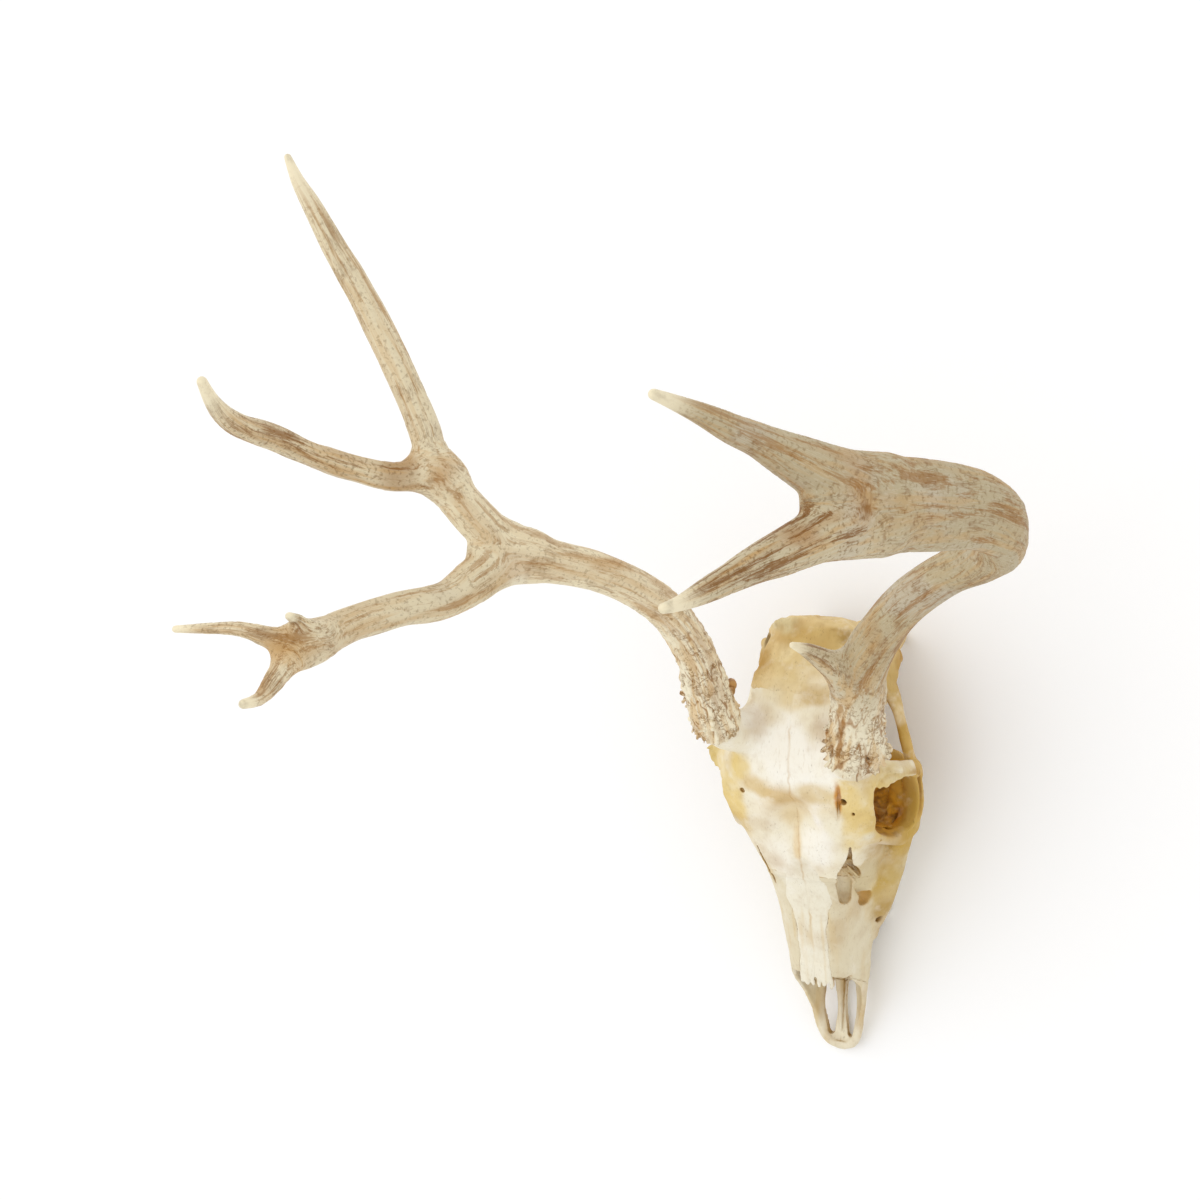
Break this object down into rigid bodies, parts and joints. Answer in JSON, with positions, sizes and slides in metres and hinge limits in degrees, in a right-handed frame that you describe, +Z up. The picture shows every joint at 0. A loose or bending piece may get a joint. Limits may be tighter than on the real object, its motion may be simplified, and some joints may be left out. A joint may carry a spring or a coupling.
{
  "type": "deer skull",
  "caption": "Mule deer skull without its lower jaw, both forked antlers in place, resting on its cheek teeth.",
  "frame": {"origin": "bottom centre of the bounding box, on the surface that the skull rests on", "axes": "+X towards the animal's left, +Y towards the back of the head, +Z up"},
  "size_m": [0.3648, 0.5232, 0.4652],
  "materials": {
    "bone_white": "dry, slightly chalky bone",
    "bone_stained": "dry bone stained ochre",
    "antler": "grooved antler, satin on the tine tips"
  },
  "bodies": {
    "root": {"nasal_left": "bone_white", "nasal_right": "bone_white", "premaxilla_left": "bone_white", "premaxilla_right": "bone_white", "frontal_left": "bone_white", "frontal_right": "bone_white", "zygomatic_left": "bone_stained", "zygomatic_right": "bone_stained", "lacrimal_left": "bone_stained", "lacrimal_right": "bone_stained", "maxilla_left": "bone_white", "maxilla_right": "bone_white", "braincase": "bone_stained", "antler_left_beam": "antler", "antler_left_upper_tine": "antler", "antler_left_lower_tine": "antler", "antler_right_beam": "antler", "antler_right_rear_branch": "antler", "antler_right_front_branch": "antler", "antler_right_long_tine": "antler", "antler_right_short_tine": "antler", "antler_right_outer_fork": "antler", "antler_right_inner_fork": "antler"}
  },
  "joints": []
}
